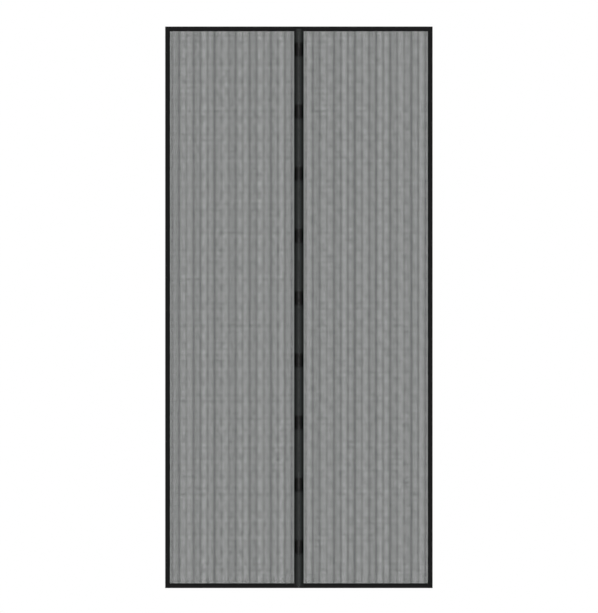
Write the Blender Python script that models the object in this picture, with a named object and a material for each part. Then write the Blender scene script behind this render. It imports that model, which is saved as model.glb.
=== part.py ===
"""A magnetic insect screen for a doorway, hanging closed.

Two net panels are bound in folded tape. The tapes meet along the centre line, where each
panel carries a row of bar magnets in sewn pockets, with a ribbon down the meeting edge in
front of them. Loop tape on the back of the header and of the two sides holds the screen to
the door frame.

The frame: +Z is up, +X runs across the doorway and +Y points at the door frame. The origin
is the centre of the back face of the header's loop tape. Sizes are in metres.
"""

import math

import bmesh
import bpy

WIDTH = 1.0
HEIGHT = 2.1
FIT = 0.0003  # clearance left between neighbouring layers and edges

LOOP_THICKNESS = 0.0012
TAPE_WIDTH = 0.018
TAPE_THICKNESS = 0.0006
FOLD_CORNER = 0.0007  # how far a fold is rounded off

NET_THICKNESS = 0.0004
NET_SETBACK = 0.005  # from a tape's folded edge to the net's cut edge inside it
NET_SLACK = 0.0002  # how much further apart the tape's leaves are than the net is thick
OPENINGS_ACROSS = 6
OPENINGS_DOWN = 20
THREAD_SHARE = 0.53  # how much of the net's pitch is thread, and not opening
WAVE_DEPTH = 0.0012
WAVE_PITCH = 0.0703
SETTLE_LENGTH = 0.035  # over which the net goes from flat at a tape to fully waved

MAGNET_COUNT = 9
MAGNET_LENGTH = 0.045
MAGNET_WIDTH = 0.012
MAGNET_THICKNESS = 0.0018
MAGNET_CORNER = 0.0004
FIRST_MAGNET_DROP = 0.085  # from the top edge to the middle of the first magnet
LAST_MAGNET_RISE = 0.155  # from the bottom edge to the middle of the last magnet

POCKET_LENGTH = 0.050
POCKET_THICKNESS = 0.0004
POCKET_MARGIN = 0.0004  # left between a pocket and the edges of its tape
POCKET_SLOPE = 0.0008  # how far a pocket's sides spread from the magnet down to the tape

RIBBON_WIDTH = 0.009
RIBBON_THICKNESS = 0.0005
RIBBON_CROWN = 0.0008  # how much thicker the ribbon is at the meeting edge
RIBBON_SETBACK = 0.009  # from the top and bottom edges of the screen to the ribbon's ends
RIBBON_RAMP = 0.007  # the length over which the ribbon climbs onto a pocket

RIBBON_COLUMNS = 4
FOLD_STEPS = 3
SMOOTH_BELOW = math.radians(35)

# Heights above the origin.
top = TAPE_WIDTH / 2
bottom = top - HEIGHT
net_top = top - TAPE_WIDTH
net_bottom = bottom + TAPE_WIDTH
under_header = net_top - FIT

# Distances in front of the back face of the loop tape.
back_leaf = LOOP_THICKNESS + FIT
net_back = back_leaf + TAPE_THICKNESS + FIT
front_leaf = net_back + NET_THICKNESS + NET_SLACK + FIT
binding_front = front_leaf + TAPE_THICKNESS
sewn_on = binding_front + FIT

# The room inside a pocket, and how far the ribbon climbs over one.
pocket_room = MAGNET_THICKNESS + FIT
ribbon_climb = pocket_room + POCKET_THICKNESS + FIT

# Distances from the centre line of the screen.
half_width = WIDTH / 2
side_tape_edge = half_width - TAPE_WIDTH
meeting_edge = FIT / 2
centre_tape_edge = meeting_edge + TAPE_WIDTH
centre_tape_middle = meeting_edge + TAPE_WIDTH / 2


def clear_scene():
    for old in list(bpy.data.objects):
        bpy.data.objects.remove(old, do_unlink=True)


def make_material(name, colour, roughness):
    made = bpy.data.materials.new(name)
    made.use_nodes = True
    shader = made.node_tree.nodes["Principled BSDF"]
    shader.inputs["Base Color"].default_value = (*colour, 1)
    shader.inputs["Roughness"].default_value = roughness
    shader.inputs["Metallic"].default_value = 0
    return made


def add_object(name, form, material):
    """Turns finished geometry into one object of the screen."""
    bmesh.ops.recalc_face_normals(form, faces=form.faces)
    data = bpy.data.meshes.new(name)
    form.to_mesh(data)
    form.free()
    data.materials.append(material)
    data.shade_smooth()
    data.set_sharp_from_angle(angle=SMOOTH_BELOW)
    made = bpy.data.objects.new(name, data)
    bpy.context.scene.collection.objects.link(made)
    return made


def sweep(stations):
    """One closed body through matching stations. Each station is the section of a thin band:
    a line of points along one of its faces, then the matching line along the other."""
    form = bmesh.new()
    rings = [
        [form.verts.new(point) for point in one_face + other_face[::-1]]
        for one_face, other_face in stations
    ]
    for near, far in zip(rings, rings[1:]):
        for i in range(len(near)):
            form.faces.new((near[i - 1], near[i], far[i], far[i - 1]))
    for end in (rings[0], rings[-1]):
        for i in range(len(end) // 2 - 1):
            form.faces.new((end[i], end[i + 1], end[-2 - i], end[-1 - i]))
    return form


def upright_line(points, side, z):
    """Places (distance from the centre line, distance in front of the back) at one height."""
    return [(side * across, -depth, z) for across, depth in points]


def level_line(points, x):
    """Places (height, distance in front of the back) at one place across the width."""
    return [(x, -depth, z) for z, depth in points]


def fold_line(fold, away, inset, corner):
    """One face of a folded tape, from the front leaf's edge round the fold to the back leaf's.

    `fold` is the tape's folded edge, `away` is +1 or -1 for the way that the tape reaches from
    it, and `inset` is how deep in the tape the line lies, 0 on the outside of the fold."""
    edge = fold + away * TAPE_WIDTH
    front = binding_front - inset
    back = back_leaf + inset
    corner = min(corner, (front - back) / 2)
    angles = [math.pi / 2 * step / FOLD_STEPS for step in range(FOLD_STEPS + 1)]
    turn = [(corner * (1 - math.sin(a)), corner * (1 - math.cos(a))) for a in angles]
    front_turn = [(fold + away * (inset + reach), front - drop) for reach, drop in turn]
    back_turn = [(across, back + front - depth) for across, depth in front_turn[::-1]]
    return [(edge, front)] + front_turn + back_turn + [(edge, back)]


def folded_tape_faces(fold, away):
    outside = fold_line(fold, away, 0, FOLD_CORNER)
    inside = fold_line(fold, away, TAPE_THICKNESS, FOLD_CORNER / 2)
    return outside, inside


def upright_tape(name, side, fold, away, material):
    """A folded tape up one edge of a panel, from the bottom edge to just under the header."""
    faces = folded_tape_faces(fold, away)
    stations = [
        [upright_line(face, side, z) for face in faces] for z in (bottom, under_header)
    ]
    return add_object(name, sweep(stations), material)


def level_tape(name, ends, fold, away, material):
    """A folded tape along the top or the bottom."""
    faces = folded_tape_faces(fold, away)
    stations = [[level_line(face, x) for face in faces] for x in ends]
    return add_object(name, sweep(stations), material)


def loop_tape(name, ends, low, high, material):
    """A flat tape on the back, whose pile grips the door frame."""
    front = [(low, LOOP_THICKNESS), (high, LOOP_THICKNESS)]
    back = [(low, 0), (high, 0)]
    stations = [[level_line(face, x) for face in (front, back)] for x in ends]
    return add_object(name, sweep(stations), material)


def eased(share):
    share = min(max(share, 0), 1)
    return share * share * (3 - 2 * share)


def net_lines(low, high, openings):
    """Places across a net between two tapes: the tapes' edges, then for each opening in turn
    its near edge, its middle and its far edge, with the middle of the thread after it."""
    pitch = (high - low) / openings
    half_opening = pitch * (1 - THREAD_SHARE) / 2
    lines = [low]
    for number in range(openings):
        middle = low + pitch * (number + 0.5)
        lines += [middle - half_opening, middle, middle + half_opening, middle + pitch / 2]
    return lines


def net_depth(side, across, z):
    """How far in front of the back the net hangs: flat at its tapes, softly waved between."""
    aside = min(across - centre_tape_edge, side_tape_edge - across) - FIT
    above = min(z - net_bottom, net_top - z) - FIT
    settle = eased(aside / SETTLE_LENGTH) * eased(above / SETTLE_LENGTH)
    wave = math.cos(math.tau * (side * across + half_width) / WAVE_PITCH)
    return net_back + NET_SLACK / 2 + settle * WAVE_DEPTH * wave


def net_panel(name, side, material):
    """A net panel. Its openings stand for the fine net's holes, with the same share of
    thread, and each is cut clean through."""
    columns = [meeting_edge + NET_SETBACK]
    columns += net_lines(centre_tape_edge + FIT, side_tape_edge - FIT, OPENINGS_ACROSS)
    columns.append(half_width - NET_SETBACK)
    rows = [bottom + NET_SETBACK]
    rows += net_lines(net_bottom + FIT, net_top - FIT, OPENINGS_DOWN)
    rows.append(top - NET_SETBACK)

    form = bmesh.new()
    front, back = (
        [
            [
                form.verts.new((side * across, -net_depth(side, across, z) - thickness, z))
                for across in columns
            ]
            for z in rows
        ]
        for thickness in (NET_THICKNESS, 0)
    )

    def is_thread(row, column):
        """Says whether a space between the lines is part of the net and not an opening. The
        first space lies in a tape, and then each opening takes four: thread, the opening's
        two halves and thread."""
        inside = 0 <= row < len(rows) - 1 and 0 <= column < len(columns) - 1
        opened = row % 4 in (2, 3) and column % 4 in (2, 3)
        return inside and not opened

    for row in range(len(rows) - 1):
        for column in range(len(columns) - 1):
            if not is_thread(row, column):
                continue
            corners = ((row, column), (row, column + 1), (row + 1, column + 1), (row + 1, column))
            form.faces.new([front[r][c] for r, c in corners])
            form.faces.new([back[r][c] for r, c in corners])
            beside = ((row - 1, column), (row, column + 1), (row + 1, column), (row, column - 1))
            for start, (r, c) in enumerate(beside):
                if not is_thread(r, c):
                    ends = (corners[start], corners[(start + 1) % 4])
                    wall = [front[r][c] for r, c in ends] + [back[r][c] for r, c in ends[::-1]]
                    form.faces.new(wall)
    loose = [point for point in form.verts if not point.link_faces]
    bmesh.ops.delete(form, geom=loose, context="VERTS")
    return add_object(name, form, material)


def magnet_heights():
    first = top - FIRST_MAGNET_DROP
    last = bottom + LAST_MAGNET_RISE
    step = (last - first) / (MAGNET_COUNT - 1)
    return [first + step * number for number in range(MAGNET_COUNT)]


def magnet(name, side, z, material):
    """A bar magnet with its edges eased, lying on the front of the centre tape."""
    inner = centre_tape_middle - MAGNET_WIDTH / 2
    outer = centre_tape_middle + MAGNET_WIDTH / 2
    front = [(inner, sewn_on + MAGNET_THICKNESS), (outer, sewn_on + MAGNET_THICKNESS)]
    back = [(inner, sewn_on), (outer, sewn_on)]
    ends = (z - MAGNET_LENGTH / 2, z + MAGNET_LENGTH / 2)
    form = sweep([[upright_line(face, side, end) for face in (front, back)] for end in ends])
    bmesh.ops.bevel(form, geom=form.edges, offset=MAGNET_CORNER, segments=1, affect="EDGES")
    return add_object(name, form, material)


def pocket_line(edge, head_edge, foot_edge, foot, head):
    """One face of a pocket: flat at its edges, up over the magnet and down again."""
    half = [(edge, foot), (foot_edge, foot), (head_edge, head)]
    left = [(centre_tape_middle - reach, depth) for reach, depth in half]
    right = [(centre_tape_middle + reach, depth) for reach, depth in half[::-1]]
    return left + right


def pocket_faces(room):
    """The outside and inside of a pocket where it has this much room in it."""
    edge = TAPE_WIDTH / 2 - POCKET_MARGIN
    head_edge = MAGNET_WIDTH / 2 + FIT
    foot_edge = head_edge + POCKET_SLOPE
    outside = pocket_line(
        edge,
        head_edge + POCKET_THICKNESS / 2,
        foot_edge + POCKET_THICKNESS / 2,
        sewn_on + POCKET_THICKNESS,
        sewn_on + POCKET_THICKNESS + room,
    )
    inside = pocket_line(edge, head_edge, foot_edge, sewn_on, sewn_on + room)
    return outside, inside


def pocket(name, side, z, material):
    """A patch of tape sewn down all round over a magnet."""
    flat = POCKET_LENGTH / 2
    full = MAGNET_LENGTH / 2 + FIT
    heights_and_rooms = [(z - flat, 0), (z - full, pocket_room)]
    heights_and_rooms += [(z + full, pocket_room), (z + flat, 0)]
    stations = [
        [upright_line(face, side, height) for face in pocket_faces(room)]
        for height, room in heights_and_rooms
    ]
    return add_object(name, sweep(stations), material)


def ribbon_faces(climb):
    """The front and back of the ribbon, which is thickest along the meeting edge."""
    front = []
    back = []
    for column in range(RIBBON_COLUMNS + 1):
        share = column / RIBBON_COLUMNS
        across = meeting_edge + FIT / 2 + RIBBON_WIDTH * share
        crown = RIBBON_CROWN * math.cos(math.pi / 2 * share)
        back.append((across, sewn_on + climb))
        front.append((across, sewn_on + climb + RIBBON_THICKNESS + crown))
    return front, back


def ribbon(name, side, material):
    """The ribbon down the meeting edge: flat on the centre tape, and up over each pocket."""
    full = POCKET_LENGTH / 2 + FIT
    heights_and_climbs = [(top - RIBBON_SETBACK, 0)]
    for z in magnet_heights():
        heights_and_climbs += [
            (z + full + RIBBON_RAMP, 0),
            (z + full, ribbon_climb),
            (z - full, ribbon_climb),
            (z - full - RIBBON_RAMP, 0),
        ]
    heights_and_climbs.append((bottom + RIBBON_SETBACK, 0))
    stations = [
        [upright_line(face, side, z) for face in ribbon_faces(climb)]
        for z, climb in heights_and_climbs
    ]
    return add_object(name, sweep(stations), material)


clear_scene()

binding_fabric = make_material("binding_fabric", (0.012, 0.012, 0.012), 0.85)
pocket_fabric = make_material("pocket_fabric", (0.005, 0.005, 0.005), 0.8)
ribbon_fabric = make_material("ribbon_fabric", (0.035, 0.038, 0.037), 0.8)
net_fabric = make_material("net_fabric", (0.032, 0.035, 0.034), 0.6)
loop_fabric = make_material("loop_fabric", (0.02, 0.02, 0.02), 0.95)
ferrite = make_material("ferrite", (0.05, 0.05, 0.052), 0.5)

level_tape("header_tape", (-half_width, half_width), top, -1, binding_fabric)
loop_tape("header_loop_tape", (-half_width, half_width), -top, top, loop_fabric)

for word, side in (("left", -1), ("right", 1)):
    net_panel(f"net_{word}", side, net_fabric)
    upright_tape(f"side_tape_{word}", side, half_width, -1, binding_fabric)
    upright_tape(f"centre_tape_{word}", side, meeting_edge, 1, binding_fabric)
    hem_ends = (side * (centre_tape_edge + FIT), side * (side_tape_edge - FIT))
    level_tape(f"hem_tape_{word}", hem_ends, bottom, 1, binding_fabric)
    loop_ends = (side * side_tape_edge, side * half_width)
    loop_tape(f"side_loop_tape_{word}", loop_ends, bottom, under_header, loop_fabric)
    for number, z in enumerate(magnet_heights(), start=1):
        magnet(f"magnet_{word}_{number}", side, z, ferrite)
        pocket(f"pocket_{word}_{number}", side, z, pocket_fabric)
    ribbon(f"ribbon_{word}", side, ribbon_fabric)
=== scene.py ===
"""The looks of a magnetic insect screen that hangs closed: thread nets bound in ribbed tape,
with sewn magnet pockets and a ribbon down the meeting line, and pile tape on the back."""

import math

import bmesh
import bpy
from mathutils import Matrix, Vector


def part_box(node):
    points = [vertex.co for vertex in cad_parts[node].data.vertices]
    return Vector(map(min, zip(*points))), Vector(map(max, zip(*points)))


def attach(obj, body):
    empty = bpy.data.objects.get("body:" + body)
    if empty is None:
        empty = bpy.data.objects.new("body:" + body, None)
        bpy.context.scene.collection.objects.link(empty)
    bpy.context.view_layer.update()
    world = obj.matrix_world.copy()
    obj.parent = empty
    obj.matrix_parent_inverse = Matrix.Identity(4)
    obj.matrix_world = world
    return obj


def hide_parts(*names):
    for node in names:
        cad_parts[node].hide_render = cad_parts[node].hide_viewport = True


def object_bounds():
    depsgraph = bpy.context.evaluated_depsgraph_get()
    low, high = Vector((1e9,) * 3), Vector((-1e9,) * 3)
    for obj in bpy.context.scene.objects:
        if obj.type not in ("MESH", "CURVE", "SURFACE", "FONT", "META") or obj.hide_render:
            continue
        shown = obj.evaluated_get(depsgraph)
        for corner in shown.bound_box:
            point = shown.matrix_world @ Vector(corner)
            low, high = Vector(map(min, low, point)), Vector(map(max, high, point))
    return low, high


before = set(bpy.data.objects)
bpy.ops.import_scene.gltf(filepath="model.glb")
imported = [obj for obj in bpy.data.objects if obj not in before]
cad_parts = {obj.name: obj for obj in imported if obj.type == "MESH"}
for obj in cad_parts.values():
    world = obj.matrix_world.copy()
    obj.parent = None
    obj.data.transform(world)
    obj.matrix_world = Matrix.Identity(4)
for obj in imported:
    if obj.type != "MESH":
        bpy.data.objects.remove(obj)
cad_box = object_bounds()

MM = 0.001

# The photograph.
PICTURE_HEIGHT = 613
PIXEL = 3.739 * MM  # how much of the screen one pixel shows
CAMERA_DISTANCE = 8.0
SENSOR = 36
CENTRE_RIGHT_OF_MIDDLE = -0.1 * PIXEL
CENTRE_ABOVE_MIDDLE = -0.8 * PIXEL

# Light. Each lamp has the direction that it shines from, its strength and its softness in degrees.
LAMPS = {
    "key_lamp": ((-0.45, -0.65, 1.0), 1.6, 50),
    "fill_lamp": ((0.7, -0.8, 0.5), 0.7, 60),
    "back_lamp": ((0.3, 0.8, 1.1), 1.3, 60),
}
LAMP_DISTANCE = 6
ROOM_LIGHT = 0.5  # the room lights the screen this much, though it looks white, which is 1
FLOOR_DROP = 0.3
FLOOR_SIZE = (8, 5.3)
FLOOR_FORWARD = 1.35
FLOOR_TONE = 0.55
FLOOR_GLOW = 0.3  # makes the floor white to the camera where nothing shades it

# Stitches.
STITCH_PITCH = 3 * MM
STITCH_LENGTH = 2.5 * MM
STITCH_WIDTH = 0.55 * MM
STITCH_DEPTH = 0.4 * MM
STITCH_CROWN = 0.15 * MM
ROW_MARGIN = 2 * MM  # from the end of a tape to the end of its row of stitches

# Tapes.
TAPE_THICKNESS = 0.6 * MM
FOLD_CORNER = 0.7 * MM
SEAM_INSET = 2.2 * MM  # from the open edge of a tape to its row of stitches
SEAM_DIP = 0.16 * MM  # how far the stitches draw the tape in
TAPE_ROUNDING = 0.12 * MM
EDGE_WANDER = 0.12 * MM  # how far a cut edge strays from a straight line
HEADER_CUTS = 40  # the places along a tape where its cut edges can stray
UPRIGHT_CUTS = 80
HEM_CUTS = 20
END_REACH = 0.28 * MM  # how much nearer its neighbour a tape's end is sewn than in the frame

# Loop tape. Its tufts are drawn in by the dip and then strewn by the spread.
PILE_CUTS_ACROSS = 7
HEADER_PILE_CUTS = 443
SIDE_PILE_CUTS = 927
PILE_DIP = 0.4 * MM
PILE_SPREAD = 0.8 * MM
PILE_SEED = 7
PILE_SEAM_INSET = 1.5 * MM
PILE_SEAM_DIP = 0.1 * MM

# Pockets. From the flange to the top ring, each is a width, and they follow from the edge inwards.
POCKET_THICKNESS = 0.4 * MM
POCKET_FLANGE = 1.2 * MM
POCKET_FOOT_BEND = 0.35 * MM
POCKET_WALL = 0.5 * MM
POCKET_HEAD_BEND = 0.35 * MM
POCKET_TOP_RING = 3 * MM
POCKET_CORNER_CUT = 2.7 * MM  # from the edges, to keep the corners full over the magnet
POCKET_ROUNDING = 0.1 * MM
POCKET_SEAM_INSET = 0.75 * MM

# Ribbons.
MEETING_GAP = 0.06 * MM  # the magnets draw the ribbons together to this
RIBBON_THICKNESS = 0.5 * MM
RIBBON_CROWN = 0.8 * MM
RIBBON_COLUMNS = 4
RIBBON_RAMP = 7 * MM
RIBBON_BEND = 2.5 * MM
RIBBON_ROUNDING = 0.15 * MM
RIBBON_CLEARANCE = 0.3 * MM
RIBBON_SEAM_INSET = 1.2 * MM
RIBBON_END_SEAM = 0.7 * RIBBON_CROWN  # how proud of the cloth the rows across its ends lie

# Net.
THREAD_PITCH = 2 * MM
THREAD_WIDTH = 1.069 * MM
THREAD_DEPTH = 0.5 * MM
THREAD_SHIFT = 0.08 * MM  # how far the level threads lie in front and the upright ones behind
NET_DEPTH = 2.65 * MM  # from the screen's back face to the middle of the net
NET_WAVE = 1.2 * MM
NET_WAVE_PITCH = 70.3 * MM
SETTLE = 35 * MM
# The close and open stripes of the knitting, in millimetres from a panel's left and top edges:
# the pitch, the share of the threads' width, and the first place where they are thinnest.
UPRIGHT_STRIPES = {
    "left": ((26.3, 0.155, 13.5), (70.3, 0.105, 9.1), (13.15, 0.068, 7.0), (22.2, 0.03, 13.4)),
    "right": ((26.3, 0.175, 12.3), (70.3, 0.1, 31.9), (13.15, 0.085, 5.9), (22.2, 0.03, 14.6)),
}
LEVEL_STRIPES = {
    "left": ((70.3, 0.028, 19.5), (35.15, 0.018, 13.9), (21.7, 0.062, 2.0)),
    "right": ((70.3, 0.005, 37.5), (21.7, 0.062, 1.6)),
}
# The slanting ones have, in place of a pitch, the lean: waves across for each wave down.
SLANTED_PITCH = 70.3
SLANTED_STRIPES = {
    "left": ((-1, 0.022, 30), (1, 0.016, 27), (-2, 0.09, 33.5)),
    "right": ((-1, 0.062, 7.1), (1, 0.042, 36.5)),
}

SIDES = (("left", -1), ("right", 1))
MAGNET_NUMBERS = range(1, 10)


# Camera and light


def aim(thing, target):
    thing.rotation_mode = "QUATERNION"
    thing.rotation_quaternion = (target - thing.location).to_track_quat("-Z", "Y")


def stand_camera(centre):
    view = bpy.data.cameras.new("camera")
    view.sensor_width = SENSOR
    view.lens = SENSOR * CAMERA_DISTANCE / (PICTURE_HEIGHT * PIXEL)
    view.clip_end = 100
    camera = bpy.data.objects.new("camera", view)
    bpy.context.scene.collection.objects.link(camera)
    bpy.context.scene.camera = camera
    aside = Vector((-CENTRE_RIGHT_OF_MIDDLE, 0, -CENTRE_ABOVE_MIDDLE))
    camera.location = centre + aside + Vector((0, -CAMERA_DISTANCE, 0))
    aim(camera, centre + aside)


def hang_lamp(name, direction, strength, softness):
    """A broad soft lamp, which shines from this direction."""
    light = bpy.data.lights.new(name, "SUN")
    light.energy = strength
    light.angle = math.radians(softness)
    lamp = bpy.data.objects.new(name, light)
    bpy.context.scene.collection.objects.link(lamp)
    lamp.location = Vector(direction).normalized() * LAMP_DISTANCE
    aim(lamp, Vector((0, 0, 0)))


# Finishes


class Signal:
    """A number that changes over a surface. Maths on it is written as plain Python."""

    def __init__(self, nodes, socket):
        self.nodes = nodes
        self.socket = socket

    def worked(self, operation, *values):
        return self.nodes.node("ShaderNodeMath", {"operation": operation}, dict(enumerate(values)))

    def __add__(self, other):
        return self.worked("ADD", self, other)

    def __sub__(self, other):
        return self.worked("SUBTRACT", self, other)

    def __rsub__(self, other):
        return self.worked("SUBTRACT", other, self)

    def __mul__(self, other):
        return self.worked("MULTIPLY", self, other)

    def __abs__(self):
        return self.worked("ABSOLUTE", self)

    __radd__ = __add__
    __rmul__ = __mul__

    def ridges(self, pitch, first=0):
        """Goes from 0 to 1 and back once in every pitch, and is 1 at the first ridge."""
        return self.worked("COSINE", (self - first) * (math.tau / pitch)) * 0.5 + 0.5

    def from_nearest(self, pitch, first):
        """The distance from the nearest of a row of places."""
        return self.worked("PINGPONG", self - first, pitch / 2)

    def faded(self, full, none):
        """1 up to the first value, 0 past the second and eased between them."""
        return self.nodes.node(
            "ShaderNodeMapRange",
            {"interpolation_type": "SMOOTHSTEP"},
            {"Value": self, "From Min": full, "From Max": none, "To Min": 1, "To Max": 0},
        )


class Nodes:
    """A tree of nodes that is filled through one method."""

    def __init__(self, owner):
        owner.use_nodes = True
        self.tree = owner.node_tree

    def node(self, kind, settings, sockets, output=0):
        made = self.tree.nodes.new(kind)
        for word, value in settings.items():
            setattr(made, word, value)
        for place, value in sockets.items():
            self.feed(made.inputs[place], value)
        return Signal(self, made.outputs[output])

    def feed(self, socket, value):
        if isinstance(value, Signal):
            self.tree.links.new(value.socket, socket)
        else:
            socket.default_value = value


def grey(tone):
    return (tone, tone, tone)


class Finish(Nodes):
    """The material of one kind of cloth or part, in the frame of the screen."""

    def __init__(self, name, roughness, gloss, sheen=0.0):
        self.material = bpy.data.materials.new(name)
        super().__init__(self.material)
        self.shader = self.tree.nodes["Principled BSDF"]
        self.shader.inputs["Roughness"].default_value = roughness
        self.shader.inputs["Specular IOR Level"].default_value = gloss
        self.shader.inputs["Sheen Weight"].default_value = sheen
        self.shader.inputs["Sheen Roughness"].default_value = 0.5
        self.point = self.node("ShaderNodeTexCoord", {}, {}, "Object")
        self.x, self.y, self.z = (
            self.node("ShaderNodeSeparateXYZ", {}, {0: self.point}, axis) for axis in "XYZ"
        )

    def noise(self, size, detail=2):
        sockets = {"Vector": self.point, "Scale": 1 / size, "Detail": detail}
        return self.node("ShaderNodeTexNoise", {}, sockets, "Fac")

    def between(self, share, low, high):
        """A colour between two, each given as red, green and blue or as a colour of its own."""
        # On a colour mix, sockets 6 and 7 are the two colours and output 2 is the result.
        low, high = ((*colour, 1) if isinstance(colour, tuple) else colour for colour in (low, high))
        return self.node("ShaderNodeMix", {"data_type": "RGBA"}, {0: share, 6: low, 7: high}, 2)

    def paint(self, colour):
        self.feed(self.shader.inputs["Base Color"], colour)

    def roughen(self, value):
        self.feed(self.shader.inputs["Roughness"], value)

    def raise_relief(self, height, depth):
        """Lifts the surface by up to this depth where the height is 1."""
        sockets = {"Height": height, "Distance": depth, "Strength": 1}
        self.feed(self.shader.inputs["Normal"], self.node("ShaderNodeBump", {}, sockets, "Normal"))


def webbing(name, level, groove_shade, crown, rib=1.3 * MM, gloss=0.08):
    """Ribbed woven tape: ribs across it, finer yarns over them, fuzz, a faint fading and painted
    shade in the grooves.
    """
    finish = Finish(name, 0.85, gloss)
    along, across = (finish.x, finish.z) if level else (finish.z, finish.x)
    ribs = along.ridges(rib)
    yarns = across.ridges(0.55 * MM) * ribs
    fuzz = finish.noise(0.4 * MM, 3)
    height = ribs * 0.6 + yarns * 0.25 + fuzz * 0.15
    fading = finish.noise(55 * MM, 4)
    # The colour is darker where the relief is low: painted shade in the grooves between ribs and
    # yarns, with a faint fading at random.
    finish.paint(finish.between(height * 0.75 + fading * 0.25, groove_shade, crown))
    finish.roughen(fuzz * 0.15 + 0.78)
    finish.raise_relief(height, 0.25 * MM)
    return finish


def net_thread():
    """Coated polyester thread: dark, with a slight shine and a slow change of tone."""
    finish = Finish("net_thread", 0.55, 0.25)
    tone = finish.noise(90 * MM, 3) * 0.6 + finish.noise(3 * MM, 2) * 0.4
    finish.paint(finish.between(tone, (0.022, 0.030, 0.028), (0.034, 0.044, 0.041)))
    finish.roughen(finish.noise(5 * MM) * 0.2 + 0.48)
    finish.raise_relief(finish.noise(0.7 * MM, 2), 0.06 * MM)
    return finish


def sewing_thread():
    """Twisted thread: slanting plies, painted darker in the gaps between them as shade."""
    finish = Finish("sewing_thread", 0.6, 0.2)
    plies = (finish.x + finish.z).ridges(0.45 * MM)
    # The gaps between the plies are painted darker: painted shade.
    finish.paint(finish.between(plies, grey(0.006), grey(0.02)))
    finish.raise_relief(plies, 0.08 * MM)
    return finish


def ribbon_cloth(pocket_pitch, first_pocket, pocket_reach):
    """Charcoal ribbon: a painted highlight along the meeting edge, painted shade towards its outer
    edge and in its grooves, and darker over the pockets.
    """
    finish = Finish("ribbon_cloth", 0.8, 0.1)
    ribs = finish.z.ridges(0.9 * MM)
    cords = finish.x.ridges(1.5 * MM)
    fuzz = finish.noise(0.35 * MM, 3)
    height = ribs * 0.35 + cords * 0.45 + fuzz * 0.2
    # Near each pocket the ribbon is painted darker.
    near_pocket = finish.z.from_nearest(pocket_pitch, first_pocket).faded(
        pocket_reach - 1 * MM, pocket_reach + 3 * MM
    )
    # Lighter towards the meeting edge and darker towards the outer edge: a painted highlight along
    # the crown and painted shade at its side, both between and over the pockets.
    crown_highlight = abs(finish.x).faded(2 * MM, 13 * MM)
    pocket_crown_highlight = abs(finish.x).faded(1 * MM, 11 * MM)
    between_pockets_tone = finish.between(crown_highlight, (0.021, 0.0225, 0.022), (0.030, 0.0325, 0.032))
    over_pocket_tone = finish.between(pocket_crown_highlight, grey(0.003), (0.0185, 0.018, 0.018))
    tone = finish.between(near_pocket, between_pockets_tone, over_pocket_tone)
    fading = finish.noise(40 * MM, 3)
    # The colour is multiplied down in the grooves between ribs and cords, which is painted shade,
    # and by a faint fading at random.
    shade = finish.between(height * 0.8 + fading * 0.2, grey(0.55), grey(1.45))
    settings = {"data_type": "RGBA", "blend_type": "MULTIPLY"}
    finish.paint(finish.node("ShaderNodeMix", settings, {0: 1.0, 6: tone, 7: shade}, 2))
    finish.roughen(fuzz * 0.15 + 0.75)
    finish.raise_relief(height, 0.2 * MM)
    return finish


def loop_pile():
    """Brushed loops: clumps of dark pile with deep shadow between them."""
    finish = Finish("loop_pile", 0.9, 0.08, 0.15)
    clumps = finish.noise(1.6 * MM, 3).faded(0.62, 0.38)
    hairs = finish.noise(0.35 * MM, 4)
    height = (1 - clumps) * 0.6 + hairs * 0.4
    finish.paint(finish.between(height, grey(0.003), grey(0.045)))
    finish.raise_relief(height, 1.2 * MM)
    return finish


def pressed_ferrite():
    """Dark grey ceramic, matt, with paler grains and rubbed places."""
    finish = Finish("pressed_ferrite", 0.55, 0.4)
    grains = finish.noise(0.5 * MM, 4)
    rubbed = finish.noise(9 * MM, 3)
    tone = grains * 0.7 + rubbed * 0.3
    finish.paint(finish.between(tone, (0.035, 0.035, 0.037), (0.07, 0.07, 0.072)))
    finish.roughen(rubbed * 0.3 + 0.4)
    finish.raise_relief(grains, 0.05 * MM)
    return finish


# Modelling by hand


def begin(name, add, place, extent, **settings):
    """Adds a primitive at its size and place and opens it for shaping."""
    bpy.ops.object.select_all(action="DESELECT")
    add(size=1, location=place, **settings)
    piece = bpy.context.object
    piece.name = name
    piece.data.name = name
    piece.scale = extent
    bpy.ops.object.transform_apply(location=True, rotation=True, scale=True)
    bpy.ops.object.mode_set(mode="EDIT")
    return piece


def begin_flat(name, low, high, depth):
    """A flat front-facing strip between two corners, at this distance in front of the back."""
    middle = (low + high) / 2
    size = high - low
    place = (middle.x, -depth, middle.z)
    facing_front = (math.pi / 2, 0, 0)
    add = bpy.ops.mesh.primitive_plane_add
    return begin(name, add, place, (size.x, size.z, 1), rotation=facing_front)


def near(a, b, within=0.02 * MM):
    return abs(a - b) < within


def pick(piece, kind, test):
    """Selects the corners, or the edges with both corners, that pass a test of their place."""
    bpy.ops.mesh.select_mode(type=kind)
    bpy.ops.mesh.select_all(action="DESELECT")
    form = bmesh.from_edit_mesh(piece.data)
    if kind == "VERT":
        for corner in form.verts:
            corner.select_set(test(corner.co))
    else:
        for edge in form.edges:
            edge.select_set(all(test(corner.co) for corner in edge.verts))
    bmesh.update_edit_mesh(piece.data)


def pick_edges_along(piece, axis, test=lambda place: True):
    """Selects the edges that run along an axis, 0 for x, 1 for y and 2 for z."""
    bpy.ops.mesh.select_mode(type="EDGE")
    bpy.ops.mesh.select_all(action="DESELECT")
    form = bmesh.from_edit_mesh(piece.data)
    for edge in form.edges:
        start, end = (corner.co for corner in edge.verts)
        along = (end - start).normalized()
        edge.select_set(abs(along[axis]) > 0.999 and test(start) and test(end))
    bmesh.update_edit_mesh(piece.data)


def extrude(by):
    bpy.ops.mesh.extrude_region_move(TRANSFORM_OT_translate={"value": by})


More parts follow.
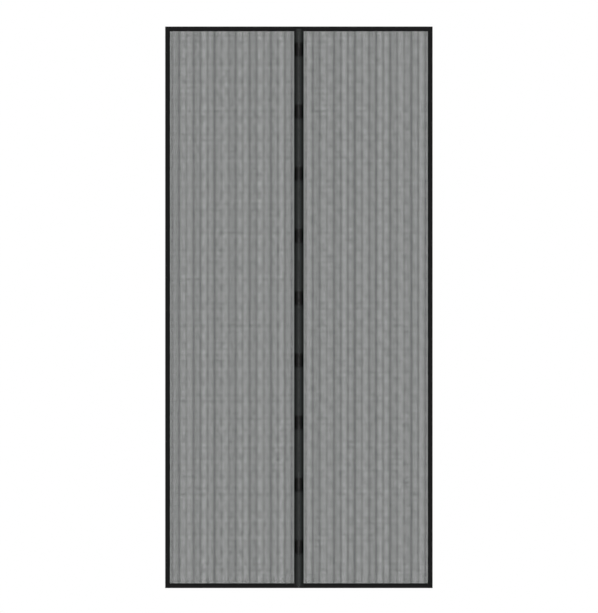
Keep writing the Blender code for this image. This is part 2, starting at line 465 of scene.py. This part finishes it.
def move(by):
    bpy.ops.transform.translate(value=by)


def cut_across(axis, place):
    """Cuts all the faces along a plane square to an axis."""
    bpy.ops.mesh.select_all(action="SELECT")
    normal = [0, 0, 0]
    normal[axis] = 1
    point = [0, 0, 0]
    point[axis] = place
    bpy.ops.mesh.bisect(plane_co=point, plane_no=normal)


def end_shaping(piece):
    bpy.ops.object.mode_set(mode="OBJECT")
    return piece


def add_modifier(piece, kind, **settings):
    """Adds a modifier and applies it."""
    modifier = piece.modifiers.new(kind.lower(), kind)
    for word, value in settings.items():
        setattr(modifier, word, value)
    bpy.context.view_layer.objects.active = piece
    bpy.ops.object.modifier_apply(modifier=modifier.name)


def give_thickness(piece, thickness):
    """Turns a sheet into cloth of this thickness, which lies behind the sheet."""
    add_modifier(piece, "SOLIDIFY", thickness=thickness, offset=-1, use_even_offset=True)


def ease_edges(piece, width, above=50):
    """Rounds the edges that turn by more than this angle."""
    settings = {"limit_method": "ANGLE", "angle_limit": math.radians(above)}
    add_modifier(piece, "BEVEL", width=width, segments=2, **settings)


def smooth(piece, below=40):
    bpy.ops.object.select_all(action="DESELECT")
    piece.select_set(True)
    bpy.context.view_layer.objects.active = piece
    bpy.ops.object.shade_smooth_by_angle(angle=math.radians(below))


def dress(piece, finish, slot, *nodes):
    """Gives a piece its finish, hangs it from the root body and hides the model's parts that it
    stands for.
    """
    piece.data.materials.clear()
    piece.data.materials.append(finish.material)
    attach(piece, "root")
    if nodes:
        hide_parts(*nodes)
    return piece


def copied(piece, name, by):
    """A copy of a finished piece with a mesh of its own, moved along."""
    bpy.ops.object.select_all(action="DESELECT")
    piece.select_set(True)
    bpy.context.view_layer.objects.active = piece
    bpy.ops.object.duplicate(linked=False)
    copy = bpy.context.object
    copy.name = name
    copy.data.name = name
    copy.location = by
    bpy.ops.object.transform_apply(location=True, rotation=False, scale=False)
    return copy


# The pieces


def folded_tape(name, node, across, fold_side, cuts):
    """Tape folded over an edge: a front leaf, a rounded fold and a back leaf.

    `across` is the axis across the tape, and `fold_side` the end of it that has the fold."""
    low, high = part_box(node)
    along = 2 - across
    if across == 0:
        high.z += END_REACH
    elif node != "header_tape":
        low.x -= END_REACH
        high.x += END_REACH
    fold = high[across] if fold_side > 0 else low[across]
    seam = fold - fold_side * (high[across] - low[across] - SEAM_INSET)
    piece = begin_flat(name, low, high, -low.y)
    pick(piece, "EDGE", lambda place: near(place[across], fold))
    extrude((0, high.y - low.y, 0))
    inward = [0, 0, 0]
    inward[across] = -fold_side * (high[across] - low[across])
    extrude(inward)
    pick_edges_along(piece, along, lambda place: near(place[across], fold))
    bpy.ops.mesh.bevel(offset=FOLD_CORNER, segments=4, affect="EDGES")
    pick_edges_along(piece, along)
    bpy.ops.mesh.subdivide(number_cuts=cuts)
    pick(piece, "VERT", lambda place: near(place[across], fold + inward[across]))
    bpy.ops.transform.vertex_random(offset=EDGE_WANDER, seed=len(name))
    cut_across(across, seam)
    for leaf, drawn in ((low.y, SEAM_DIP), (high.y, -SEAM_DIP)):
        pick(piece, "VERT", lambda place: near(place[across], seam) and near(place.y, leaf))
        move((0, drawn, 0))
    end_shaping(piece)
    give_thickness(piece, TAPE_THICKNESS)
    ease_edges(piece, TAPE_ROUNDING)
    smooth(piece)
    return piece


def stitch(name, place, along, face):
    """One stitch: a short thread that sinks in at both ends. `face` is -1 on the front."""
    size = [STITCH_WIDTH] * 3
    size[1] = STITCH_DEPTH
    size[along] = STITCH_LENGTH
    piece = begin(name, bpy.ops.mesh.primitive_cube_add, place, size)
    pick_edges_along(piece, along)
    bpy.ops.mesh.subdivide(number_cuts=2)
    half = STITCH_LENGTH / 2
    pick(piece, "VERT", lambda at: abs(at[along] - place[along]) > half * 0.9)
    narrow = [0.5, 0.6, 0.5]
    narrow[along] = 1
    bpy.ops.transform.resize(value=narrow, center_override=place)
    pick(
        piece,
        "VERT",
        lambda at: abs(at[along] - place[along]) < half * 0.5 and (at.y - place.y) * face > 0,
    )
    move((0, face * STITCH_CROWN, 0))
    return end_shaping(piece)


def sewn_rows(name, rows, face, finish):
    """Rows of stitches, each given by its start and end, joined as one piece."""
    made = []
    for start, end in rows:
        run = end - start
        along = max(range(3), key=lambda axis: abs(run[axis]))
        count = max(1, round(run.length / STITCH_PITCH))
        step = run / count
        piece = stitch(name, start + step / 2, along, face)
        add_modifier(
            piece,
            "ARRAY",
            count=count,
            use_relative_offset=False,
            use_constant_offset=True,
            constant_offset_displace=step,
        )
        made.append(piece)
    bpy.ops.object.select_all(action="DESELECT")
    for piece in made:
        piece.select_set(True)
    bpy.context.view_layer.objects.active = made[0]
    if len(made) > 1:
        bpy.ops.object.join()
    smooth(made[0], 60)
    return dress(made[0], finish, "binding_fabric")


def pile_tape(name, node, across, cuts):
    """Loop tape: a flat woven back and a tufted face that looks at the door frame."""
    low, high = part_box(node)
    along = 2 - across
    if across == 0:
        high.z += END_REACH
    piece = begin(name, bpy.ops.mesh.primitive_cube_add, (low + high) / 2, high - low)
    pick_edges_along(piece, across)
    bpy.ops.mesh.subdivide(number_cuts=PILE_CUTS_ACROSS)
    pick_edges_along(piece, along)
    bpy.ops.mesh.subdivide(number_cuts=cuts)

    def is_tuft(place):
        inside = all(
            low[axis] + 0.1 * MM < place[axis] < high[axis] - 0.1 * MM for axis in (across, along)
        )
        return inside and near(place.y, high.y)

    pick(piece, "VERT", is_tuft)
    move((0, -PILE_DIP, 0))
    bpy.ops.transform.vertex_random(offset=PILE_SPREAD, seed=PILE_SEED)
    end_shaping(piece)
    smooth(piece, 70)
    return piece


def sewn_pocket(name, node):
    """A patch of tape over one magnet: flat at its seams and drawn up round the magnet."""
    low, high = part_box(node)
    rise = high.y - low.y - POCKET_THICKNESS
    piece = begin_flat(name, low, high, -high.y)
    bpy.ops.mesh.select_mode(type="FACE")
    bpy.ops.mesh.select_all(action="SELECT")
    for ring in (POCKET_FLANGE, POCKET_FOOT_BEND, POCKET_WALL):
        bpy.ops.mesh.inset(thickness=ring)
    move((0, -rise, 0))
    for ring in (POCKET_HEAD_BEND, POCKET_TOP_RING):
        bpy.ops.mesh.inset(thickness=ring)
    for axis in (0, 2):
        for place in (low[axis] + POCKET_CORNER_CUT, high[axis] - POCKET_CORNER_CUT):
            cut_across(axis, place)
    end_shaping(piece)
    add_modifier(piece, "SUBSURF", levels=2, render_levels=2)
    bpy.ops.object.mode_set(mode="EDIT")
    bpy.ops.mesh.select_all(action="SELECT")
    extrude((0, -POCKET_THICKNESS, 0))
    end_shaping(piece)
    ease_edges(piece, POCKET_ROUNDING, above=80)
    smooth(piece, 60)
    return piece


def pocket_seams(node):
    """The four rows of stitches round a pocket, just inside its edges."""
    low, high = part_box(node)
    left, right = low.x + POCKET_SEAM_INSET, high.x - POCKET_SEAM_INSET
    foot, head = low.z + POCKET_SEAM_INSET, high.z - POCKET_SEAM_INSET
    corners = [(left, foot), (left, head), (right, head), (right, foot), (left, foot)]
    places = [Vector((x, high.y - POCKET_THICKNESS, z)) for x, z in corners]
    return list(zip(places, places[1:]))


def ribbon_levels(node, pockets):
    """The spans of height where a ribbon lies on a pocket, and its two depths."""
    _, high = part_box(node)
    spans = [
        (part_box(pocket)[0].z - RIBBON_CLEARANCE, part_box(pocket)[1].z + RIBBON_CLEARANCE)
        for pocket in pockets
    ]
    raised = max(-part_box(pocket)[0].y for pocket in pockets) + RIBBON_CLEARANCE
    return spans, -high.y, raised


def draped_ribbon(name, node, pockets):
    """The ribbon: flat on the tape, up over every pocket, and thickest at the meeting edge."""
    low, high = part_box(node)
    if low.x > 0:
        low.x = MEETING_GAP / 2
    else:
        high.x = -MEETING_GAP / 2
    spans, flat, raised = ribbon_levels(node, pockets)
    piece = begin_flat(name, low, high, flat)
    for foot, head in spans:
        for place in (foot - RIBBON_RAMP, foot, head, head + RIBBON_RAMP):
            cut_across(2, place)
    for foot, head in spans:
        pick(piece, "VERT", lambda at: foot - 0.1 * MM < at.z < head + 0.1 * MM)
        move((0, flat - raised, 0))
    pick_edges_along(piece, 0, lambda at: low.z + 1 * MM < at.z < high.z - 1 * MM)
    bpy.ops.mesh.bevel(offset=RIBBON_BEND, segments=3, affect="EDGES")
    pick_edges_along(piece, 0)
    bpy.ops.mesh.subdivide(number_cuts=RIBBON_COLUMNS - 1)
    bpy.ops.mesh.select_all(action="SELECT")
    extrude((0, -RIBBON_THICKNESS, 0))
    form = bmesh.from_edit_mesh(piece.data)
    front = [corner for corner in form.verts if corner.select]
    meeting = min((low.x, high.x), key=abs)
    width = high.x - low.x
    for column in range(RIBBON_COLUMNS):
        share = column / RIBBON_COLUMNS
        bpy.ops.mesh.select_all(action="DESELECT")
        for corner in front:
            corner.select_set(near(abs(corner.co.x - meeting), share * width))
        bmesh.update_edit_mesh(piece.data)
        move((0, -RIBBON_CROWN * math.cos(math.pi / 2 * share), 0))
    end_shaping(piece)
    ease_edges(piece, RIBBON_ROUNDING)
    smooth(piece)
    return piece


def ribbon_seams(node, pockets):
    """The rows of stitches down a ribbon's outer edge, and one across each of its ends."""
    low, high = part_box(node)
    side = 1 if low.x > 0 else -1
    seam = max(low.x, high.x, key=abs) - side * RIBBON_SEAM_INSET
    spans, flat, raised = ribbon_levels(node, pockets)
    proud = RIBBON_THICKNESS + RIBBON_CROWN * RIBBON_SEAM_INSET / (high.x - low.x) * math.pi / 2
    rows = []

    def sew_down(depth, start, end):
        rows.append((Vector((seam, -depth - proud, start)), Vector((seam, -depth - proud, end))))

    start = high.z - 2 * RIBBON_SEAM_INSET
    for foot, head in spans:
        sew_down(flat, start, head + RIBBON_RAMP)
        sew_down(raised, head, foot)
        start = foot - RIBBON_RAMP
    sew_down(flat, start, low.z + 2 * RIBBON_SEAM_INSET)
    depth = -flat - RIBBON_THICKNESS - RIBBON_END_SEAM
    for z in (high.z - RIBBON_SEAM_INSET, low.z + RIBBON_SEAM_INSET):
        rows.append((Vector((side * RIBBON_SEAM_INSET, depth, z)), Vector((seam, depth, z))))
    return rows


def swing(pitch, crest, at):
    """A wave from 1 at its crest to -1 half a pitch further on."""
    return math.cos(math.tau * (at - crest) / pitch)


def eased(share):
    share = min(max(share, 0), 1)
    return share * share * (3 - 2 * share)


class ThreadMesh:
    """The corners and faces of a net, to which one three-sided thread is added after another."""

    SECTION = ((-0.5, 0.5), (0.5, 0.5), (0, -0.5))

    def __init__(self):
        self.corners = []
        self.faces = []

    def lay(self, points, widths, level, forward):
        """Adds a thread along points of x, depth and z, with its width at each of them."""
        first = len(self.corners)
        for (x, depth, z), width in zip(points, widths):
            for across, out in self.SECTION:
                place_x = x if level else x + across * width
                place_z = z - across * width if level else z
                place_y = -(depth + out * THREAD_DEPTH + forward)
                self.corners.append((place_x, place_y, place_z))
        last = len(self.corners) - 3
        for start in range(first, last, 3):
            for a, b in ((0, 1), (1, 2), (2, 0)):
                self.faces.append((start + a, start + b, start + b + 3, start + a + 3))
        self.faces.append((first + 2, first + 1, first))
        self.faces.append((last, last + 1, last + 2))

    def finished(self, name):
        data = bpy.data.meshes.new(name)
        data.from_pydata(self.corners, [], self.faces)
        data.update()
        data.shade_smooth()
        net = bpy.data.objects.new(name, data)
        bpy.context.scene.collection.objects.link(net)
        return net


class NetWaves:
    """How a net panel hangs: in upright waves, which go flat towards the tapes all round."""

    def __init__(self, low, high, word):
        inner_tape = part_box("centre_tape_" + word)
        outer_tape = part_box("side_tape_" + word)
        self.clear_low = min(inner_tape[1].x, outer_tape[1].x)
        self.clear_high = max(inner_tape[0].x, outer_tape[0].x)
        self.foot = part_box("hem_tape_" + word)[1].z
        self.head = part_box("header_tape")[0].z
        self.left_edge = cad_box[0].x
        self.knots = [low.x, *self.turns(low.x, high.x), high.x]
        self.sags = [self.sag(x) for x in self.knots]
        flat_ends = (self.foot + SETTLE, self.head - SETTLE)
        self.heights = [low.z, self.foot, *flat_ends, self.head, high.z]

    def turns(self, start, end):
        """The places across the panel where a wave is at its front, its middle or its back."""
        step = NET_WAVE_PITCH / 4
        spare = 0.2 * step
        turn = math.ceil((start + spare - self.left_edge) / step)
        while self.left_edge + turn * step < end - spare:
            yield self.left_edge + turn * step
            turn += 1

    def sag(self, x):
        settle = eased(min(x - self.clear_low, self.clear_high - x) / SETTLE)
        return settle * NET_WAVE * swing(NET_WAVE_PITCH, 0, x - self.left_edge)

    def sag_between(self, x):
        """The sag of the level threads, which run straight from knot to knot."""
        after = next(number for number, knot in enumerate(self.knots) if x <= knot)
        (x0, x1), (s0, s1) = self.knots[after - 1 : after + 1], self.sags[after - 1 : after + 1]
        return s0 + (s1 - s0) * (x - x0) / (x1 - x0)

    def settled(self, z):
        return min(max(min(z - self.foot, self.head - z) / SETTLE, 0), 1)


def thread_places(start, end):
    """The middles of evenly laid threads, about a thread's pitch apart."""
    count = round((end - start) / THREAD_PITCH)
    return [start + (number + 0.5) * (end - start) / count for number in range(count)]


def thread_net(name, node, side, word):
    """A net of upright and level threads, which hangs in soft upright waves.

    The threads are made in code, because they are a sheet of some thirteen hundred threads."""
    low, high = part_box(node)
    waves = NetWaves(low, high, word)
    net = ThreadMesh()
    panel_left = waves.left_edge if side < 0 else 0

    def from_left(x):
        return (x - panel_left) / MM

    def width_share(stripes, at):
        return 1 - sum(part * swing(pitch, crest, at) for pitch, part, crest in stripes)

    def slant(x, down):
        return sum(
            part * swing(SLANTED_PITCH, crest, down + lean * from_left(x))
            for lean, part, crest in SLANTED_STRIPES[word]
        )

    for x in thread_places(low.x, high.x):
        width = THREAD_WIDTH * width_share(UPRIGHT_STRIPES[word], from_left(x))
        sag = waves.sag_between(x)
        points = [(x, NET_DEPTH + sag * waves.settled(z), z) for z in waves.heights]
        net.lay(points, [width] * len(points), False, -THREAD_SHIFT)
    for z in thread_places(low.z, high.z):
        down = (cad_box[1].z - z) / MM
        share = width_share(LEVEL_STRIPES[word], down)
        settled = waves.settled(z)
        points = [(x, NET_DEPTH + sag * settled, z) for x, sag in zip(waves.knots, waves.sags)]
        widths = [THREAD_WIDTH * (share - slant(x, down)) for x in waves.knots]
        net.lay(points, widths, True, THREAD_SHIFT)
    return net.finished(name)


# The room


def lay_floor(level):
    """A pale floor under the screen, white where nothing shades it."""
    bpy.ops.object.select_all(action="DESELECT")
    bpy.ops.mesh.primitive_plane_add(size=1, location=(0, -FLOOR_FORWARD, level))
    floor = bpy.context.object
    floor.name = "floor"
    floor.scale = (*FLOOR_SIZE, 1)
    bpy.ops.object.transform_apply(location=True, rotation=False, scale=True)
    finish = Finish("floor_paint", 0.9, 0.0)
    finish.paint((*grey(FLOOR_TONE), 1))
    seen = finish.node("ShaderNodeLightPath", {}, {}, "Is Camera Ray")
    glow = finish.between(seen, grey(0), grey(FLOOR_GLOW))
    finish.feed(finish.shader.inputs["Emission Color"], glow)
    finish.shader.inputs["Emission Strength"].default_value = 1
    floor.data.materials.append(finish.material)


def light_room():
    """White all round to the eye, with a soft even light and three broad lamps."""
    world = bpy.data.worlds.new("studio")
    bpy.context.scene.world = world
    room = Nodes(world)
    seen = [
        room.node("ShaderNodeLightPath", {}, {}, ray)
        for ray in ("Is Camera Ray", "Is Glossy Ray", "Is Transmission Ray")
    ]
    strength = (seen[0] + seen[1] + seen[2]) * (1 - ROOM_LIGHT) + ROOM_LIGHT
    background = room.tree.nodes["Background"]
    background.inputs["Color"].default_value = (1, 1, 1, 1)
    room.feed(background.inputs["Strength"], strength)
    for name, (direction, strength, softness) in LAMPS.items():
        hang_lamp(name, direction, strength, softness)


# Putting the screen together


def mix_finishes():
    """The finish of every kind of cloth, thread and part of the screen."""
    first, second = (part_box(f"pocket_left_{number}") for number in (1, 2))
    pocket_pitch = first[0].z - second[0].z
    pocket_middle = (first[0].z + first[1].z) / 2
    pocket_reach = (first[1].z - first[0].z) / 2
    return {
        "level_webbing": webbing("level_webbing", True, grey(0.004), grey(0.0165)),
        "upright_webbing": webbing("upright_webbing", False, grey(0.004), grey(0.015)),
        "centre_webbing": webbing("centre_webbing", False, grey(0.008), (0.021, 0.022, 0.0215)),
        "pocket_webbing": webbing(
            "pocket_webbing", False, grey(0.001), grey(0.004), rib=0.9 * MM, gloss=0.04
        ),
        "thread": sewing_thread(),
        "net": net_thread(),
        "pile": loop_pile(),
        "ferrite": pressed_ferrite(),
        "ribbon": ribbon_cloth(pocket_pitch, pocket_middle, pocket_reach),
    }


def tape_row(node, across, depth, seam):
    """The ends of a row of stitches along a tape."""
    low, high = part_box(node)
    if across == 0:
        return Vector((seam, depth, low.z + ROW_MARGIN)), Vector((seam, depth, high.z - ROW_MARGIN))
    return Vector((low.x + ROW_MARGIN, depth, seam)), Vector((high.x - ROW_MARGIN, depth, seam))


def pile_rows(node, across):
    """The two rows of stitches that hold a loop tape, near its long edges."""
    low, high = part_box(node)
    seams = (low[across] + PILE_SEAM_INSET, high[across] - PILE_SEAM_INSET)
    return [tape_row(node, across, high.y - PILE_SEAM_DIP, seam) for seam in seams]


def make_header(finishes):
    """The header's folded tape and its loop tape, each with its stitches."""
    header = folded_tape("header_binding", "header_tape", 2, 1, HEADER_CUTS)
    dress(header, finishes["level_webbing"], "binding_fabric", "header_tape")
    low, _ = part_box("header_tape")
    row = tape_row("header_tape", 2, low.y, low.z + SEAM_INSET)
    sewn_rows("header_stitching", [row], -1, finishes["thread"])
    node = "header_loop_tape"
    pile = pile_tape("header_pile_tape", node, 2, HEADER_PILE_CUTS)
    dress(pile, finishes["pile"], "loop_fabric", node)
    sewn_rows("header_pile_stitching", pile_rows(node, 2), 1, finishes["thread"])
    return header


def bind_panel(word, side, finishes):
    """The side, centre and hem tapes of one panel and their stitches, given as a list."""
    bound = []
    for node, name, across, fold_side, cuts, cloth in (
        (f"side_tape_{word}", f"{word}_side_binding", 0, side, UPRIGHT_CUTS, "upright_webbing"),
        (f"centre_tape_{word}", f"{word}_centre_binding", 0, -side, UPRIGHT_CUTS, "centre_webbing"),
        (f"hem_tape_{word}", f"{word}_hem_binding", 2, -1, HEM_CUTS, "level_webbing"),
    ):
        tape = folded_tape(name, node, across, fold_side, cuts)
        dress(tape, finishes[cloth], "binding_fabric", node)
        low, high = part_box(node)
        open_edge = low[across] if fold_side > 0 else high[across]
        seam = open_edge + fold_side * SEAM_INSET
        rows = [("front", low.y, -1)]
        if not node.startswith("side"):
            rows.append(("back", high.y, 1))
        for where, depth, face in rows:
            row = tape_row(node, across, depth, seam)
            bound.append(sewn_rows(f"{name}_{where}_stitching", [row], face, finishes["thread"]))
        bound.append(tape)
    return bound


def hang_net(word, side, finishes):
    """One net panel of threads, dressed in its finish in place of the model's net."""
    node = f"net_{word}"
    net = thread_net(f"{word}_net_cloth", node, side, word)
    dress(net, finishes["net"], "net_fabric", node)


def sew_side_pile(word, finishes):
    """The loop tape on the back of one side, and its stitches."""
    node = f"side_loop_tape_{word}"
    pile = pile_tape(f"{word}_side_pile_tape", node, 0, SIDE_PILE_CUTS)
    dress(pile, finishes["pile"], "loop_fabric", node)
    sewn_rows(f"{word}_side_pile_stitching", pile_rows(node, 0), 1, finishes["thread"])


def sew_pockets(word, model_pocket, model_seams, finishes):
    """The pockets of one panel, copies of the first one, and the finish of their magnets."""
    for number in MAGNET_NUMBERS:
        node = f"pocket_{word}_{number}"
        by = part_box(node)[0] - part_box("pocket_left_1")[0]
        cloth, seams = model_pocket, model_seams
        if by.length > 0:
            cloth = copied(model_pocket, f"{word}_pocket_cloth_{number}", by)
            seams = copied(model_seams, f"{word}_pocket_stitching_{number}", by)
        dress(seams, finishes["thread"], "pocket_fabric")
        dress(cloth, finishes["pocket_webbing"], "pocket_fabric", node)
        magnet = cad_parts[f"magnet_{word}_{number}"]
        magnet.data.materials.clear()
        magnet.data.materials.append(finishes["ferrite"].material)


def lay_ribbon(word, finishes):
    """The ribbon of one panel, which lies over its pockets along the meeting line."""
    node = f"ribbon_{word}"
    pockets = [f"pocket_{word}_{number}" for number in MAGNET_NUMBERS]
    ribbon = draped_ribbon(f"{word}_ribbon_cloth", node, pockets)
    dress(ribbon, finishes["ribbon"], "ribbon_fabric", node)
    sewn_rows(f"{word}_ribbon_stitching", ribbon_seams(node, pockets), -1, finishes["thread"])


stand_camera((cad_box[0] + cad_box[1]) / 2)
light_room()
lay_floor(cad_box[0].z - FLOOR_DROP)

finishes = mix_finishes()
header = make_header(finishes)
model_pocket = sewn_pocket("left_pocket_cloth_1", "pocket_left_1")
model_seams = sewn_rows(
    "left_pocket_stitching_1", pocket_seams("pocket_left_1"), -1, finishes["thread"]
)
for word, side in SIDES:
    bound = bind_panel(word, side, finishes)
    # The header binds both nets.
    hang_net(word, side, finishes)
    sew_side_pile(word, finishes)
    sew_pockets(word, model_pocket, model_seams, finishes)
    lay_ribbon(word, finishes)

bpy.context.scene.view_settings.view_transform = "Standard"
